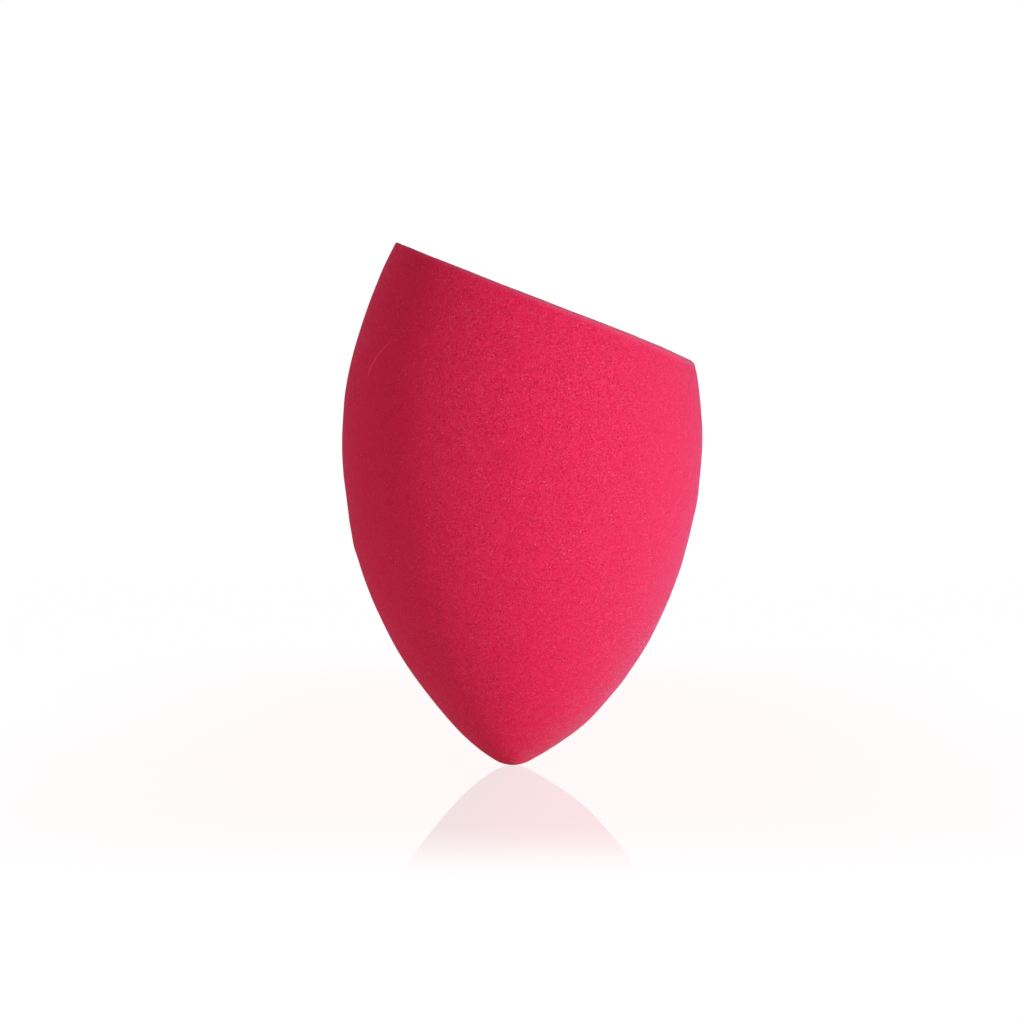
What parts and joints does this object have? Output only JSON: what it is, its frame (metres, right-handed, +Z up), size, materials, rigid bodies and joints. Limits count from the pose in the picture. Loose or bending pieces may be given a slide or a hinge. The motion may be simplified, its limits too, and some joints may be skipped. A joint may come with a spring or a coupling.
{
  "type": "makeup sponge",
  "caption": "Water-drop makeup sponge: a soft round block of open-cell foam with a pointed tip, cut off flat and slanted at its wide end.",
  "frame": {"origin": "the middle of the small flat that the tip is pressed to where it stands, on the body's axis", "axes": "+Z up the body's axis from the tip to the cut end, +X towards the low side of the slanted cut"},
  "size_m": [0.0412, 0.0412, 0.0592],
  "materials": {
    "foam": "matte"
  },
  "bodies": {
    "root": {"foam_body": "foam"}
  },
  "joints": []
}
